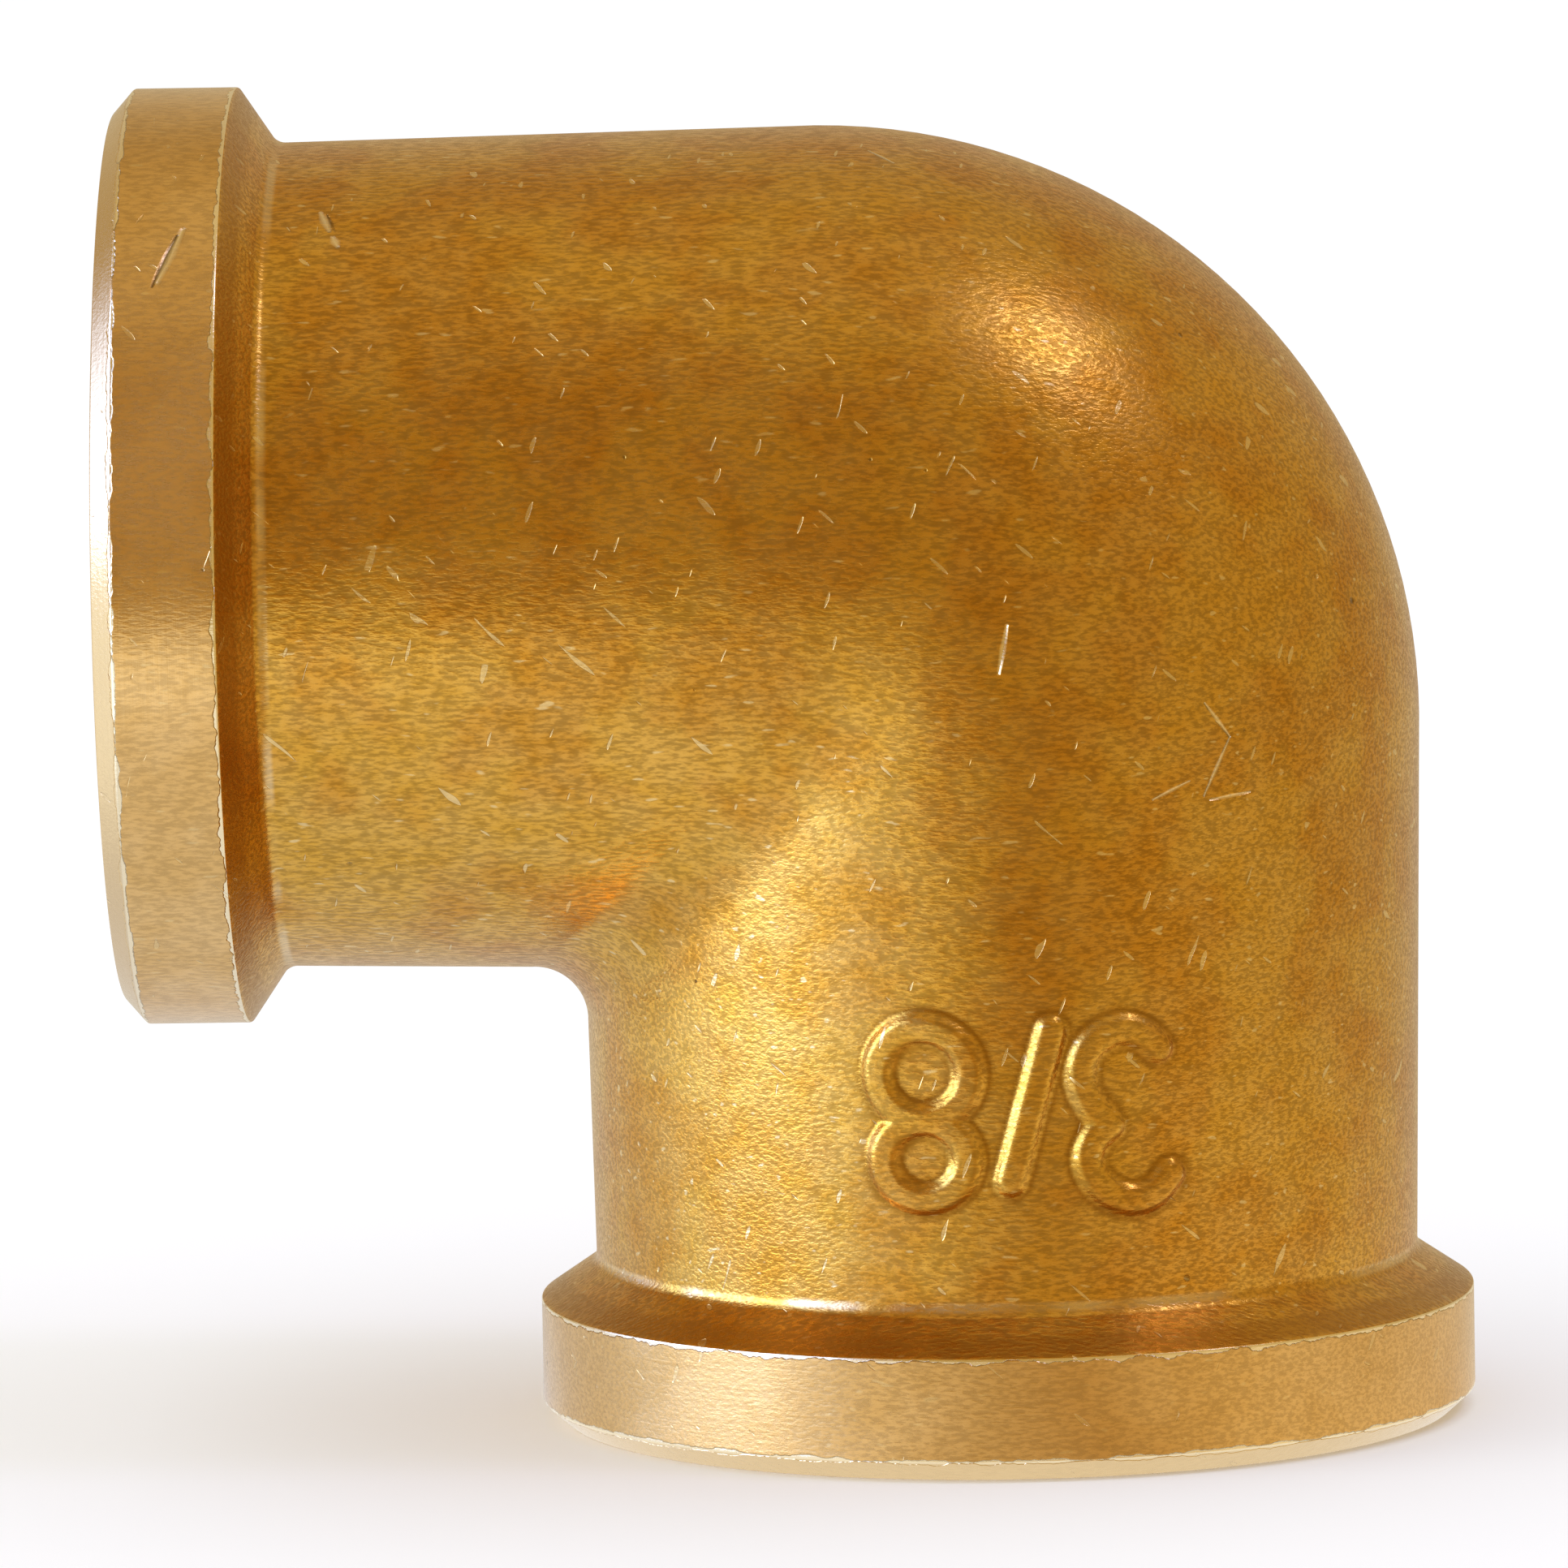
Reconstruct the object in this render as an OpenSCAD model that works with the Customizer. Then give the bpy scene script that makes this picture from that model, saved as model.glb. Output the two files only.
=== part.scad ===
// Female threaded elbow for 3/8 inch pipe: a hot-pressed brass body, one piece,
// with two equal legs at a right angle and a turned collar round each port.
//
// Frame: the lower leg stands on its port face. The origin is the centre of that
// face, +Z runs up the axis of the lower leg, and the side leg points along -X.
// All sizes are in millimetres.

/* [Legs] */
// Distance from the crossing of the two port axes to each port face
centre_to_face = 21; // [20:0.5:26]
// Diameter of the plain part of a leg, where it meets the collar
leg_d = 19.8; // [19.2:0.1:21]
// Draft of a leg: it widens from the collar to the bend by this angle
draft_angle = 1; // [0:0.25:2]
// Radius that the centre line turns on, at the bend
bend_r = 4.2; // [3:0.2:6]
// Radius of the fillet in the inside corner between the legs
crotch_r = 1.3; // [0.8:0.1:2]
// Radius that the same fillet grows to where it runs out, at the bend
crotch_runout_r = 4; // [2:0.5:6]

/* [Collars] */
// Diameter of the collar
collar_d = 22.5; // [21.8:0.1:25]
// Length of the collar, from the port face to the far edge of its turned band
collar_len = 2.95; // [2:0.05:5]
// Chamfer at the port face, measured along the leg
face_chamfer_len = 0.5; // [0.2:0.05:1]
// Chamfer at the port face, measured across the leg
face_chamfer_depth = 0.57; // [0.2:0.01:1]
// Slope of the shoulder behind the band, from the plane of the face
shoulder_angle = 34; // [15:1:45]
// Radius of the fillet at the foot of the shoulder
foot_fillet_r = 0.4; // [0.2:0.05:0.8]

/* [Ports] */
// Diameter that the pipe thread is cut from, its small diameter
thread_bore_d = 14.95; // [14.7:0.05:15.2]
// Depth of the threaded bore, from the port face
thread_bore_depth = 11; // [9:0.5:12]
// Diameter of the countersink at the port face
mouth_d = 17; // [16:0.1:18]
// Slope of the countersink, from the axis of the port
mouth_angle = 45; // [30:5:60]

/* [Waterway] */
// Diameter of the waterway, which is drilled from each port
waterway_d = 14; // [11:0.5:14.5]
// How far the full width of each drilling runs past the crossing of the axes
drill_overrun = 1.2; // [0:0.2:2]
// Point angle of the drill
drill_point_angle = 118; // [90:2:140]
// Slope of the step from the threaded bore to the waterway, from the axis of the port
step_angle = 60; // [45:5:75]

/* [Hidden] */

$fn = 128;
FILLET_STEPS = 6;        // flats along the fillet at the foot of a shoulder
CROTCH_STATIONS = 20;    // sections of the crotch fillet, from the corner to each end
TIP_STATIONS = 5;        // sections of its rounded tip
CROTCH_STEPS = 10;       // flats across it, from leg to leg
SEAT = 0.012;            // how deep its edges sit in the legs
KEEL = 0.96;             // place of its hidden back, as a share of the way out to its edges
CUT = 1;                 // how far a cutter runs past the face that it opens
HALF_TURN = 45;          // from a leg's end to the middle of the bend

BRASS = [0.78, 0.55, 0.19];

collar_r = collar_d / 2;
leg_r = leg_d / 2;
shoulder_len = (collar_r - leg_r) * tan(shoulder_angle);
foot_at = collar_len + shoulder_len;
leg_len = centre_to_face - bend_r;
// Radius of the leg where it runs into the bend
bend_body_r = leg_r + (leg_len - foot_at) * tan(draft_angle);

mouth_depth = (mouth_d - thread_bore_d) / 2 / tan(mouth_angle);
step_len = (thread_bore_d - waterway_d) / 2 / tan(step_angle);
drill_point_len = waterway_d / 2 / tan(drill_point_angle / 2);

// Points of an arc round c, from angle a to angle b
function arc(c, r, a, b, steps) =
    [for (i = [0:steps]) let (t = a + (b - a) * i / steps) c + r * [cos(t), sin(t)]];

// Foot fillet: an arc that touches both the shoulder and the plain leg
foot_turn = 90 - shoulder_angle;
foot_tangent = foot_fillet_r * tan(foot_turn / 2);
foot_centre = [leg_r + foot_fillet_r, foot_at + foot_tangent];

// Half section of a leg: radius across, height above the port face
function leg_section() = concat(
    [[0, 0], [collar_r - face_chamfer_depth, 0], [collar_r, face_chamfer_len], [collar_r, collar_len]],
    arc(foot_centre, foot_fillet_r, 180 + foot_turn, 180, FILLET_STEPS),
    [[bend_body_r, leg_len], [0, leg_len]]
);

// The crotch fillet is the trace of a ball that rolls up the valley between the legs and
// touches both, seen from the crossing of the axes. i is the section: 0 in the corner,
// up to CROTCH_STATIONS where the ball reaches the bend, and on round the tip.
END_STATION = CROTCH_STATIONS + TIP_STATIONS;
valley_end = acos(bend_r / (bend_body_r + crotch_runout_r));
function rise(i) = min(abs(i) / CROTCH_STATIONS, 1);
function ball_r(i) = crotch_r + (crotch_runout_r - crotch_r) * rise(i) ^ 2;
function ball_angle(i) = sign(i) * rise(i) * valley_end;
// Radius of the two legs where the ball touches them
function valley_leg_r(i) =
    bend_body_r - tan(draft_angle) * ((bend_body_r + ball_r(i)) * cos(ball_angle(i)) - bend_r);
function ball_centre(i) =
    let (reach = valley_leg_r(i) + ball_r(i), a = ball_angle(i))
    [-reach * cos(a), reach * sin(a), -reach * cos(a)];
// Share of the way out to the ball's centre at which its fillet meets the legs
function touch_share(i) = (valley_leg_r(i) - SEAT) / (valley_leg_r(i) + ball_r(i));

// Where the ball touches the side leg, and the lower leg. Past the legs' ends it stays
// where it is, and both points swing round the axis of the bend until they meet.
function touch_side(i) =
    let (
        c = ball_centre(i),
        k = touch_share(i),
        swing = HALF_TURN * max(abs(i) - CROTCH_STATIONS, 0) / (TIP_STATIONS + 1),
        m = -c[0] * (1 - k)
    )
    [c[0] + m * sin(swing), c[1] * k, c[2] + m * cos(swing)];
function touch_lower(i) = let (t = touch_side(i)) [t[2], t[1], t[0]];

// One section of the fillet: an arc of the ball from leg to leg, and its hidden back
function crotch_section(i) =
    let (
        c = ball_centre(i),
        u = touch_side(i) - c,
        v = touch_lower(i) - c,
        turn = acos((u * v) / (norm(u) * norm(v)))
    )
    concat(
        [for (j = [0:CROTCH_STEPS]) let (t = j / CROTCH_STEPS)
            c + (sin((1 - t) * turn) * u + sin(t * turn) * v) / sin(turn)],
        [KEEL * touch_share(i) * c]
    );

// The point of the tip, on the side of the body that is given by 1 or -1
function crotch_tip(side) =
    let (
        c = ball_centre(side * CROTCH_STATIONS),
        k = touch_share(CROTCH_STATIONS),
        m = -c[0] * (1 - k) * sin(HALF_TURN)
    )
    [c[0] + m, c[1] * k, c[2] + m];

module crotch_fillet() {
    ring = CROTCH_STEPS + 2;
    sections = [for (i = [-END_STATION:END_STATION]) crotch_section(i)];
    points = concat([for (s = sections, q = s) q], [crotch_tip(-1), crotch_tip(1)]);
    last = (len(sections) - 1) * ring;
    near_tip = len(points) - 2;
    far_tip = len(points) - 1;
    sides = [for (i = [0:len(sections) - 2], j = [0:ring - 1])
        let (a = i * ring + j, b = i * ring + (j + 1) % ring)
        each [[a, b, b + ring], [a, b + ring, a + ring]]];
    near_cap = [for (j = [0:ring - 1]) [(j + 1) % ring, j, near_tip]];
    far_cap = [for (j = [0:ring - 1]) [last + j, last + (j + 1) % ring, far_tip]];
    translate([0, 0, centre_to_face])
        polyhedron(points, concat(sides, near_cap, far_cap), convexity = 6);
}

// Stands a shape that is drawn for the lower leg on the side port, facing along -X
module on_side_port() {
    translate([-centre_to_face, 0, centre_to_face])
        rotate([0, 90, 0])
            children();
}

module on_both_ports() {
    children();
    on_side_port() children();
}

// The outside of the bend: a quarter turn that joins the two legs
module bend() {
    translate([-bend_r, 0, leg_len])
        rotate([90, 0, 0])
            rotate_extrude(angle = 90)
                intersection() {
                    translate([bend_r, 0])
                        circle(bend_body_r);
                    translate([0, -bend_body_r])
                        square([bend_r + bend_body_r, 2 * bend_body_r]);
                }
}

module leg() {
    rotate_extrude()
        polygon(leg_section());
}

// Everything that is cut from one port: countersink, threaded bore, step and drilling
module port_bore() {
    translate([0, 0, -CUT])
        cylinder(h = mouth_depth + CUT, d1 = mouth_d + 2 * CUT * tan(mouth_angle), d2 = thread_bore_d);
    translate([0, 0, -CUT])
        cylinder(h = CUT + thread_bore_depth, d = thread_bore_d);
    translate([0, 0, thread_bore_depth])
        cylinder(h = step_len, d1 = thread_bore_d, d2 = waterway_d);
    cylinder(h = centre_to_face + drill_overrun, d = waterway_d);
    translate([0, 0, centre_to_face + drill_overrun])
        cylinder(h = drill_point_len, d1 = waterway_d, d2 = 0);
}

module elbow_body() {
    color(BRASS)
        difference() {
            union() {
                on_both_ports() leg();
                bend();
                crotch_fillet();
            }
            on_both_ports() port_bore();
        }
}

elbow_body();
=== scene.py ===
"""A female threaded elbow for 3/8 inch pipe in hot-pressed brass, dressed for its render.

The CAD frame gives the elbow its size and its place. This script stands one detailed shell
for it: the same outside form, with its rounded edges, the raised size number, and both pipe
threads cut to their full depth. It then gives the shell its three finishes and sets up the
floor, the lamps, the surroundings and the camera.
"""

from __future__ import annotations

import logging
import math
from dataclasses import dataclass, field
from enum import Enum
from typing import Sequence

import bpy
import numpy as np
from mathutils import Matrix, Vector

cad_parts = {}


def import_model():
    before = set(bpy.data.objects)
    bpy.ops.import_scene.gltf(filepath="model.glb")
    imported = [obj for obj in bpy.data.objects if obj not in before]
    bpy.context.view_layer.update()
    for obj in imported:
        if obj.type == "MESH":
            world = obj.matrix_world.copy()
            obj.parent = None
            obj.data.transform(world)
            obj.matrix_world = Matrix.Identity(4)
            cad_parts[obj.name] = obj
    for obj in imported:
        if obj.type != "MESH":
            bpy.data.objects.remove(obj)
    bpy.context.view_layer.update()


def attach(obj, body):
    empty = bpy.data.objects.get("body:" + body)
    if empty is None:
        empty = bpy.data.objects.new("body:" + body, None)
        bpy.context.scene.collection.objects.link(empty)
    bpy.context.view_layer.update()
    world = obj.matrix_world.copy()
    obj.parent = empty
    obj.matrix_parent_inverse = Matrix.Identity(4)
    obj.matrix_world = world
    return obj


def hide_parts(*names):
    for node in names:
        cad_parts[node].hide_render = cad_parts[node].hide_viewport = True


MM = 0.001
LOG = logging.getLogger("elbow")
Socket = bpy.types.NodeSocket
Colour = tuple[float, float, float]
Point = tuple[float, float, float]
Spot = tuple[float, float]
Sockets = bpy.types.bpy_prop_collection
FLOAT = "NodeSocketFloat"
VECTOR = "NodeSocketVector"
# The mesh attribute that carries the line of painted shade round the foot of the size number
FOOT_SHADE_ATTRIBUTE = "painted_foot_shade"


class Surface(Enum):
    """How a face of the brass was made."""

    PRESSED = "hot-pressed and blasted"
    TURNED = "turned on a lathe"
    CUT = "drilled and threaded"


Finishes = dict[Surface, bpy.types.Material]


# ---------------------------------------------------------------- mesh helpers


def deselect_all() -> None:
    """Leaves object mode with nothing selected."""
    if bpy.context.object and bpy.context.object.mode != "OBJECT":
        bpy.ops.object.mode_set(mode="OBJECT")
    bpy.ops.object.select_all(action="DESELECT")


def make_active(piece: bpy.types.Object) -> None:
    """Selects one object alone and makes it active."""
    deselect_all()
    piece.select_set(True)
    bpy.context.view_layer.objects.active = piece


def places(mesh: bpy.types.Mesh) -> np.ndarray:
    """Reads the places of a mesh's vertices, in millimetres."""
    flat = np.empty(len(mesh.vertices) * 3, dtype=np.float32)
    mesh.vertices.foreach_get("co", flat)
    return flat.reshape(-1, 3).astype(float) / MM


def put(mesh: bpy.types.Mesh, spots: np.ndarray) -> None:
    """Moves a mesh's vertices to new places, in millimetres."""
    mesh.vertices.foreach_set("co", (spots * MM).astype(np.float32).ravel())
    mesh.update()


def face_centres(mesh: bpy.types.Mesh) -> np.ndarray:
    """Reads the middles of a mesh's faces, in millimetres."""
    flat = np.empty(len(mesh.polygons) * 3, dtype=np.float32)
    mesh.polygons.foreach_get("center", flat)
    return flat.reshape(-1, 3).astype(float) / MM


def open_with(piece: bpy.types.Object, kind: str, chosen: np.ndarray | None = None) -> None:
    """Opens a piece in edit mode with some of it selected.

    Args:
        piece: the piece.
        kind: VERT or FACE, for what is selected.
        chosen: whether each vertex or face is selected, or None for all of them.
    """
    make_active(piece)
    bpy.ops.object.mode_set(mode="EDIT")
    bpy.ops.mesh.select_mode(type=kind)
    bpy.ops.mesh.select_all(action="SELECT" if chosen is None else "DESELECT")
    if chosen is not None:
        bpy.ops.object.mode_set(mode="OBJECT")
        parts = piece.data.vertices if kind == "VERT" else piece.data.polygons
        parts.foreach_set("select", chosen)
        bpy.ops.object.mode_set(mode="EDIT")


def close_piece() -> None:
    """Goes back from edit mode to object mode."""
    bpy.ops.object.mode_set(mode="OBJECT")


def join_pieces(pieces: Sequence[bpy.types.Object]) -> bpy.types.Object:
    """Joins pieces and merges their rims where they meet.

    Args:
        pieces: the pieces; the first keeps its name.

    Returns:
        The joined piece.
    """
    make_active(pieces[0])
    for piece in pieces[1:]:
        piece.select_set(True)
    bpy.ops.object.join()
    open_with(pieces[0], "VERT")
    bpy.ops.mesh.remove_doubles(threshold=0.002 * MM)
    bpy.ops.mesh.dissolve_degenerate(threshold=0.0005 * MM)
    close_piece()
    return pieces[0]


def dress(piece: bpy.types.Object, finishes: Sequence[bpy.types.Material]) -> None:
    """Gives a piece its materials, the first of them on every face."""
    piece.data.materials.clear()
    for finish in finishes:
        piece.data.materials.append(finish)


@dataclass(frozen=True)
class SectionLine:
    """A half section, drawn beside the axis of the lower port.

    Its corners are the distance from the axis and the height above the port face.
    """

    name: str
    corners: tuple[Spot, ...]

    def draw(self) -> bpy.types.Object:
        """Draws the line by extruding one vertex from corner to corner.

        Returns:
            The line.
        """
        steps = [Vector((across * MM, 0, up * MM)) for across, up in self.corners]
        deselect_all()
        bpy.ops.mesh.primitive_plane_add(size=MM)
        line = bpy.context.object
        line.name = self.name
        bpy.ops.object.mode_set(mode="EDIT")
        bpy.ops.mesh.select_all(action="SELECT")
        bpy.ops.mesh.merge(type="CENTER")
        bpy.ops.transform.translate(value=steps[0])
        for start, end in zip(steps[:-1], steps[1:]):
            bpy.ops.mesh.extrude_region_move(TRANSFORM_OT_translate={"value": end - start})
        close_piece()
        return line

    @staticmethod
    def round_corners(line: bpy.types.Object, corners: Sequence[Spot], reach: float, steps: int) -> None:
        """Rounds some corners of a drawn line.

        Args:
            line: the line.
            corners: the corners to round.
            reach: how far along both sides the rounding starts.
            steps: flats along it.
        """
        spots = places(line.data)[:, (0, 2)]
        gaps = [np.linalg.norm(spots - np.array(corner), axis=1) for corner in corners]
        open_with(line, "VERT", np.min(gaps, axis=0) < 0.01)
        bpy.ops.mesh.bevel(offset=reach * MM, segments=steps, affect="VERTICES", clamp_overlap=False)
        close_piece()

    @staticmethod
    def spin(line: bpy.types.Object, steps: int) -> None:
        """Spins a drawn line once round the axis of the lower port."""
        open_with(line, "VERT")
        bpy.ops.mesh.spin(steps=steps, angle=math.tau, center=(0, 0, 0), axis=(0, 0, 1))
        close_piece()


def smooth(value: np.ndarray) -> np.ndarray:
    """Eases a share from 0 to 1, flat at both ends."""
    share = np.clip(value, 0, 1)
    return share * share * (3 - 2 * share)


# ---------------------------------------------------------------- the elbow


@dataclass(frozen=True)
class ElbowSizes:
    """Sizes of the elbow in millimetres and degrees, as in the CAD part."""

    centre_to_face: float = 21.0
    leg_radius: float = 9.9
    draft: float = 1.0
    bend_radius: float = 4.2
    crotch_radius: float = 1.3
    crotch_runout_radius: float = 4.0
    collar_radius: float = 11.25
    collar_length: float = 2.95
    face_chamfer_length: float = 0.5
    face_chamfer_depth: float = 0.57
    shoulder_angle: float = 34.0
    foot_fillet: float = 0.4
    bore_radius: float = 7.475
    bore_depth: float = 11.0
    mouth_radius: float = 8.5
    waterway_radius: float = 7.0
    drill_overrun: float = 1.2
    drill_point: float = 118.0
    step_angle: float = 60.0

    @property
    def foot(self) -> float:
        """Height above the port face at which the shoulder meets the plain leg."""
        rise = (self.collar_radius - self.leg_radius) * math.tan(math.radians(self.shoulder_angle))
        return self.collar_length + rise

    @property
    def leg_length(self) -> float:
        """Height above the port face at which the bend starts."""
        return self.centre_to_face - self.bend_radius

    @property
    def body_radius(self) -> float:
        """Radius of the leg where it runs into the bend."""
        return float(self.leg_radius_at(self.leg_length))

    def leg_radius_at(self, height: np.ndarray | float) -> np.ndarray | float:
        """Gives the leg's radius at a height above its port face."""
        return self.leg_radius + (height - self.foot) * math.tan(math.radians(self.draft))


@dataclass(frozen=True)
class Port:
    """One port: the foot of its leg, the collar, and the bore behind the thread."""

    sizes: ElbowSizes
    columns: int
    top: float
    foot_steps: int = 6
    foot_rows: int = 15
    edge_reach: float = 0.035
    edge_steps: int = 3
    edge_guard: float = 0.03

    def outside_line(self) -> bpy.types.Object:
        """Draws the half section from the leg down over the collar to the port's mouth."""
        sizes = self.sizes
        slope = math.radians(90 - sizes.shoulder_angle)
        fillet_reach = sizes.foot_fillet * math.tan(slope / 2)
        leg_end = sizes.foot + fillet_reach * 1.4
        heights = np.linspace(self.top, leg_end, self.foot_rows + 1)
        leg = [(float(sizes.leg_radius_at(height)), float(height)) for height in heights]
        foot = (sizes.leg_radius, sizes.foot)
        edges = [
            (sizes.collar_radius, sizes.collar_length),
            (sizes.collar_radius, sizes.face_chamfer_length),
            (sizes.collar_radius - sizes.face_chamfer_depth, 0.0),
        ]
        mouth = (sizes.mouth_radius, 0.0)
        stops = [foot, *edges, mouth]
        corners = [*leg, foot]
        for before, here, after in zip(stops[:-2], stops[1:-1], stops[2:]):
            corners += [self.guard(here, before), here, self.guard(here, after)]
        line = SectionLine("port_outside", (*corners, mouth)).draw()
        SectionLine.round_corners(line, [foot], fillet_reach, self.foot_steps)
        SectionLine.round_corners(line, edges, self.edge_reach, self.edge_steps)
        return line

    def guard(self, corner: Spot, side: Spot) -> Spot:
        """Places the short flat beside a rounded edge, which keeps the broad faces flat.

        Args:
            corner: the corner that is rounded.
            side: the next corner on the side of the flat.

        Returns:
            The flat's far end.
        """
        run = np.array(side) - np.array(corner)
        spot = np.array(corner) + run / np.linalg.norm(run) * (self.edge_reach + self.edge_guard)
        return float(spot[0]), float(spot[1])

    def waterway(self) -> bpy.types.Object:
        """Spins the bore behind the thread with its drill point, and cuts it in the mirror plane."""
        sizes = self.sizes
        slope = math.tan(math.radians(sizes.step_angle))
        step_end = sizes.bore_depth + (sizes.bore_radius - sizes.waterway_radius) / slope
        wall_end = sizes.centre_to_face + sizes.drill_overrun
        point = wall_end + sizes.waterway_radius / math.tan(math.radians(sizes.drill_point / 2))
        corners = (
            (sizes.bore_radius, sizes.bore_depth),
            (sizes.waterway_radius, step_end),
            (sizes.waterway_radius, wall_end),
            (0.0, point),
        )
        bore = SectionLine("port_waterway", corners).draw()
        SectionLine.spin(bore, self.columns)
        open_with(bore, "VERT")
        bpy.ops.mesh.bisect(
            plane_co=(0, 0, sizes.centre_to_face * MM),
            plane_no=(-1, 0, 1),
            clear_outer=True,
            threshold=1e-7,
        )
        close_piece()
        return bore

    def build(self, finishes: Finishes) -> list[bpy.types.Object]:
        """Builds the port's outside and its waterway.

        Args:
            finishes: the brass finishes.

        Returns:
            The two parts, dressed.
        """
        outside = self.outside_line()
        SectionLine.spin(outside, self.columns)
        dress(outside, [finishes[Surface.PRESSED], finishes[Surface.TURNED]])
        turned = face_centres(outside.data)[:, 2] < self.sizes.collar_length + 0.012
        outside.data.polygons.foreach_set("material_index", turned.astype(np.int32))
        waterway = self.waterway()
        dress(waterway, [finishes[Surface.CUT]])
        return [outside, waterway]


@dataclass(frozen=True)
class PipeThread:
    """The parallel 3/8 inch pipe thread, 19 to the inch, in millimetres."""

    sizes: ElbowSizes
    columns: int
    pitch: float = 1.337
    depth: float = 0.856
    runout_start: float = 9.3
    runout_end: float = 10.7
    # Depth over one pitch, as shares: flat crest, rounded edge, flank, rounded root
    form: tuple[Spot, ...] = (
        (0.0, 0.0), (0.08, 0.02), (0.14, 0.12), (0.36, 0.88), (0.42, 0.98),
        (0.5, 1.0), (0.58, 0.98), (0.64, 0.88), (0.86, 0.12), (0.92, 0.02),
        (1.0, 0.0),
    )

    def build(self, finishes: Finishes) -> bpy.types.Object:
        """Winds the thread up its port and trims it.

        Args:
            finishes: the brass finishes.

        Returns:
            The thread, dressed, from the rim of the mouth to the end of the bore.
        """
        sizes = self.sizes
        corners = tuple(
            (sizes.bore_radius + self.depth * cut, self.pitch * (share - 1)) for share, cut in self.form
        )
        thread = SectionLine("port_thread", corners).draw()
        make_active(thread)
        bpy.ops.object.modifier_add(type="SCREW")
        wind = thread.modifiers[-1]
        wind.angle = math.tau
        wind.screw_offset = self.pitch * MM
        wind.iterations = math.ceil(sizes.bore_depth / self.pitch) + 1
        wind.steps = wind.render_steps = self.columns
        bpy.ops.object.modifier_apply(modifier=wind.name)
        self.trim(thread)
        dress(thread, [finishes[Surface.CUT]])
        return thread

    def trim(self, thread: bpy.types.Object) -> None:
        """Trims the thread to its bore: level at both ends, faded out, and countersunk."""
        sizes = self.sizes
        spots = places(thread.data)
        radius = np.hypot(spots[:, 0], spots[:, 1])
        height = np.clip(spots[:, 2], 0, sizes.bore_depth)
        fade = 1 - smooth((height - self.runout_start) / (self.runout_end - self.runout_start))
        cut = sizes.bore_radius + (radius - sizes.bore_radius) * fade
        trimmed = np.maximum(cut, sizes.mouth_radius - height)
        spots[:, :2] *= (trimmed / radius)[:, None]
        spots[:, 2] = height
        put(thread.data, spots)


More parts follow.
